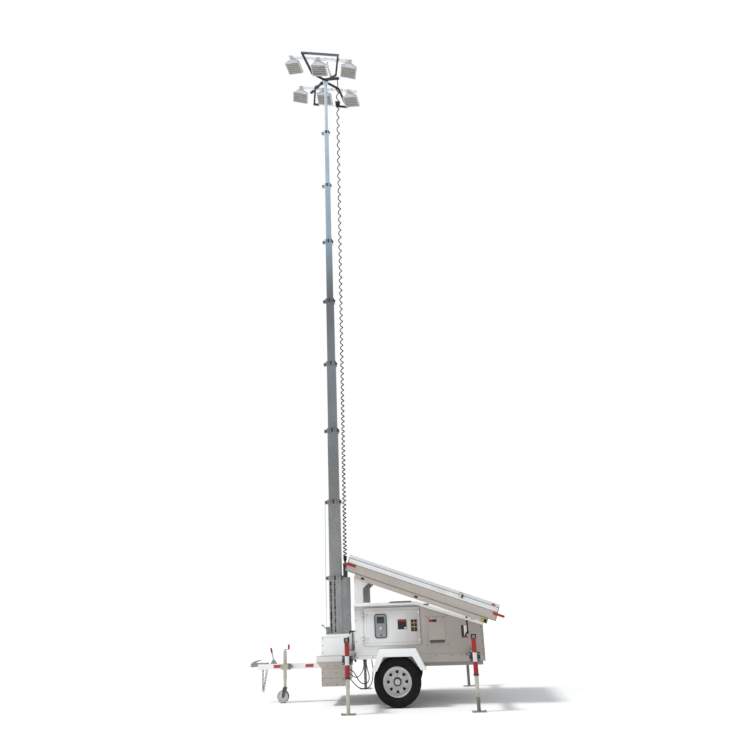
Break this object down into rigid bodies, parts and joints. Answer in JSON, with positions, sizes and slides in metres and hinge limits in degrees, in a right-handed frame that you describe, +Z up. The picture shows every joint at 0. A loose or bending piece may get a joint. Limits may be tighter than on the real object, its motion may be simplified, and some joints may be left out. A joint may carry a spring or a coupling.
{
  "type": "mobile light tower",
  "caption": "Towed light tower: trailer with battery housing, sliding solar panels, outrigger jacks and a telescopic mast with tilting floodlights.",
  "frame": {"origin": "on the ground, at the middle of the footprint", "axes": "+Z up, -X towards the drawbar, -Y towards the side with the operator panel"},
  "size_m": [3.47, 2.424, 10.2675],
  "materials": {
    "white_paint": "semi-gloss",
    "cream_paint": "satin",
    "red_paint": "gloss",
    "black_paint": "satin",
    "galvanised": "spangled matt",
    "zinc_plate": "yellowish satin",
    "rim_silver": "metallic",
    "tyre_rubber": "matt",
    "cable_rubber": "satin",
    "panel_plastic": "matt",
    "battery_case": "matt",
    "solar_cells": "glossy",
    "lamp_grey": "satin",
    "wheel_alloy": "worn"
  },
  "bodies": {
    "root": {"drawbar": "white_paint", "coupling": "galvanised", "brake_lever": "zinc_plate", "safety_chains": "galvanised", "jockey_tube": "zinc_plate", "chassis": "cream_paint", "axle": "black_paint", "fenders": "white_paint", "front_box_lower": "cream_paint", "front_box_upper": "white_paint", "housing_side_near": "white_paint", "housing_side_far": "white_paint", "housing_ends": "white_paint", "housing_floor": "cream_paint", "housing_roof": "white_paint", "battery_block": "battery_case", "vent_panels": "cream_paint", "solar_posts": "white_paint", "solar_cassette": "cream_paint", "solar_top_panel": "solar_cells", "mast_base": "galvanised", "mast_winch": "black_paint", "coil_cord": "cable_rubber", "hose_long": "cable_rubber"},
    "wheel_near": {"rim_near": "rim_silver", "tyre_near": "tyre_rubber"},
    "wheel_far": {"rim_far": "rim_silver", "tyre_far": "tyre_rubber"},
    "door_near": {"door_near": "white_paint", "controller": "panel_plastic"},
    "door_far": {"door_far": "white_paint"},
    "solar_drawer_near": {"solar_drawer_near": "cream_paint"},
    "solar_drawer_far": {"solar_drawer_far": "white_paint"},
    "outrigger_front_near": {"outrigger_front_near": "red_paint"},
    "jack_leg_front_near": {"jack_leg_front_near": "zinc_plate"},
    "outrigger_front_far": {"outrigger_front_far": "red_paint"},
    "jack_leg_front_far": {"jack_leg_front_far": "zinc_plate"},
    "outrigger_rear_near": {"outrigger_rear_near": "red_paint"},
    "jack_leg_rear_near": {"jack_leg_rear_near": "zinc_plate"},
    "outrigger_rear_far": {"outrigger_rear_far": "red_paint"},
    "jack_leg_rear_far": {"jack_leg_rear_far": "zinc_plate"},
    "jockey_leg": {"jockey_leg": "zinc_plate"},
    "jockey_caster": {"jockey_fork": "galvanised"},
    "jockey_roller": {"jockey_wheel": "wheel_alloy"},
    "mast_2": {"mast_section_2": "galvanised"},
    "mast_3": {"mast_section_3": "galvanised"},
    "mast_4": {"mast_section_4": "galvanised"},
    "mast_5": {"mast_section_5": "galvanised"},
    "mast_6": {"mast_section_6": "galvanised"},
    "mast_7": {"mast_section_7": "galvanised"},
    "mast_8": {"mast_section_8": "galvanised"},
    "mast_9": {"mast_section_9": "galvanised", "lamp_head_frame": "black_paint", "lamp_yokes": "zinc_plate"},
    "lamp_near_left": {"lamp_near_left": "lamp_grey"},
    "lamp_near_middle": {"lamp_near_middle": "lamp_grey"},
    "lamp_near_right": {"lamp_near_right": "lamp_grey"},
    "lamp_far_left": {"lamp_far_left": "lamp_grey"},
    "lamp_far_middle": {"lamp_far_middle": "lamp_grey"},
    "lamp_far_right": {"lamp_far_right": "lamp_grey"}
  },
  "joints": [
    {"name": "wheel_near_spin", "type": "hinge", "parent": "root", "child": "wheel_near", "pos_m": [0.318, -0.703, 0.298], "axis": [0, 1, 0], "continuous": true},
    {"name": "wheel_far_spin", "type": "hinge", "parent": "root", "child": "wheel_far", "pos_m": [0.318, 0.703, 0.298], "axis": [0, 1, 0], "continuous": true},
    {"name": "door_near_hinge", "type": "hinge", "parent": "root", "child": "door_near", "pos_m": [-0.106, -0.635, 0.945], "axis": [0, 0, -1], "range_deg": [0, 95]},
    {"name": "door_far_hinge", "type": "hinge", "parent": "root", "child": "door_far", "pos_m": [-0.106, 0.635, 0.945], "axis": [0, 0, 1], "range_deg": [0, 95]},
    {"name": "solar_drawer_near_slide", "type": "slide", "parent": "root", "child": "solar_drawer_near", "axis": [0, -1, 0], "range_m": [0, 1.2]},
    {"name": "solar_drawer_far_slide", "type": "slide", "parent": "root", "child": "solar_drawer_far", "axis": [0, 1, 0], "range_m": [0, 1.2]},
    {"name": "outrigger_front_near_slide", "type": "slide", "parent": "root", "child": "outrigger_front_near", "axis": [0, 1, 0], "range_m": [0, 0.44]},
    {"name": "jack_leg_front_near_lift", "type": "slide", "parent": "outrigger_front_near", "child": "jack_leg_front_near", "axis": [0, 0, 1], "range_m": [0, 0.28]},
    {"name": "outrigger_front_far_slide", "type": "slide", "parent": "root", "child": "outrigger_front_far", "axis": [0, -1, 0], "range_m": [0, 0.44]},
    {"name": "jack_leg_front_far_lift", "type": "slide", "parent": "outrigger_front_far", "child": "jack_leg_front_far", "axis": [0, 0, 1], "range_m": [0, 0.28]},
    {"name": "outrigger_rear_near_slide", "type": "slide", "parent": "root", "child": "outrigger_rear_near", "axis": [0, 1, 0], "range_m": [0, 0.44]},
    {"name": "jack_leg_rear_near_lift", "type": "slide", "parent": "outrigger_rear_near", "child": "jack_leg_rear_near", "axis": [0, 0, 1], "range_m": [0, 0.28]},
    {"name": "outrigger_rear_far_slide", "type": "slide", "parent": "root", "child": "outrigger_rear_far", "axis": [0, -1, 0], "range_m": [0, 0.44]},
    {"name": "jack_leg_rear_far_lift", "type": "slide", "parent": "outrigger_rear_far", "child": "jack_leg_rear_far", "axis": [0, 0, 1], "range_m": [0, 0.28]},
    {"name": "jockey_lift", "type": "slide", "parent": "root", "child": "jockey_leg", "axis": [0, 0, 1], "range_m": [0, 0.1]},
    {"name": "jockey_swivel", "type": "hinge", "parent": "jockey_leg", "child": "jockey_caster", "pos_m": [-1.24, -0.07, 0.185], "axis": [0, 0, 1], "continuous": true},
    {"name": "jockey_spin", "type": "hinge", "parent": "jockey_caster", "child": "jockey_roller", "pos_m": [-1.264, -0.07, 0.08], "axis": [0, 1, 0], "continuous": true},
    {"name": "mast_extend", "type": "slide", "parent": "root", "child": "mast_2", "axis": [0, 0, 1], "range_m": [-0.985, 0], "deforming": ["coil_cord"]},
    {"name": "mast_3_slide", "type": "slide", "parent": "mast_2", "child": "mast_3", "axis": [0, 0, 1], "range_m": [-0.985, 0]},
    {"name": "mast_4_slide", "type": "slide", "parent": "mast_3", "child": "mast_4", "axis": [0, 0, 1], "range_m": [-0.985, 0]},
    {"name": "mast_5_slide", "type": "slide", "parent": "mast_4", "child": "mast_5", "axis": [0, 0, 1], "range_m": [-0.985, 0]},
    {"name": "mast_6_slide", "type": "slide", "parent": "mast_5", "child": "mast_6", "axis": [0, 0, 1], "range_m": [-0.985, 0]},
    {"name": "mast_7_slide", "type": "slide", "parent": "mast_6", "child": "mast_7", "axis": [0, 0, 1], "range_m": [-0.985, 0]},
    {"name": "mast_8_slide", "type": "slide", "parent": "mast_7", "child": "mast_8", "axis": [0, 0, 1], "range_m": [-0.985, 0]},
    {"name": "mast_9_slide", "type": "slide", "parent": "mast_8", "child": "mast_9", "axis": [0, 0, 1], "range_m": [-0.985, 0]},
    {"name": "lamp_near_left_tilt", "type": "hinge", "parent": "mast_9", "child": "lamp_near_left", "pos_m": [-1.06102, -0.534, 10.21595], "axis": [0.9438, -0.2689, -0.192], "range_deg": [-45, 5]},
    {"name": "lamp_near_middle_tilt", "type": "hinge", "parent": "mast_9", "child": "lamp_near_middle", "pos_m": [-0.58772, -0.534, 10.11966], "axis": [0.9772, -0.075, -0.1988], "range_deg": [-45, 5]},
    {"name": "lamp_near_right_tilt", "type": "hinge", "parent": "mast_9", "child": "lamp_near_right", "pos_m": [-0.03602, -0.534, 10.00742], "axis": [0.9686, 0.1513, -0.1971], "range_deg": [-45, 5]},
    {"name": "lamp_far_left_tilt", "type": "hinge", "parent": "mast_9", "child": "lamp_far_left", "pos_m": [-1.01693, 0.235, 10.20698], "axis": [0.9715, 0.1305, -0.1977], "range_deg": [-45, 5]},
    {"name": "lamp_far_middle_tilt", "type": "hinge", "parent": "mast_9", "child": "lamp_far_middle", "pos_m": [-0.5985, 0.235, 10.12185], "axis": [0.9783, -0.0576, -0.199], "range_deg": [-45, 5]},
    {"name": "lamp_far_right_tilt", "type": "hinge", "parent": "mast_9", "child": "lamp_far_right", "pos_m": [-0.13793, 0.235, 10.02815], "axis": [0.9556, -0.2215, -0.1944], "range_deg": [-45, 5]}
  ],
  "couplings": [
    {"joint": "mast_3_slide", "follows": "mast_extend", "ratio": 1},
    {"joint": "mast_4_slide", "follows": "mast_extend", "ratio": 1},
    {"joint": "mast_5_slide", "follows": "mast_extend", "ratio": 1},
    {"joint": "mast_6_slide", "follows": "mast_extend", "ratio": 1},
    {"joint": "mast_7_slide", "follows": "mast_extend", "ratio": 1},
    {"joint": "mast_8_slide", "follows": "mast_extend", "ratio": 1},
    {"joint": "mast_9_slide", "follows": "mast_extend", "ratio": 1}
  ]
}
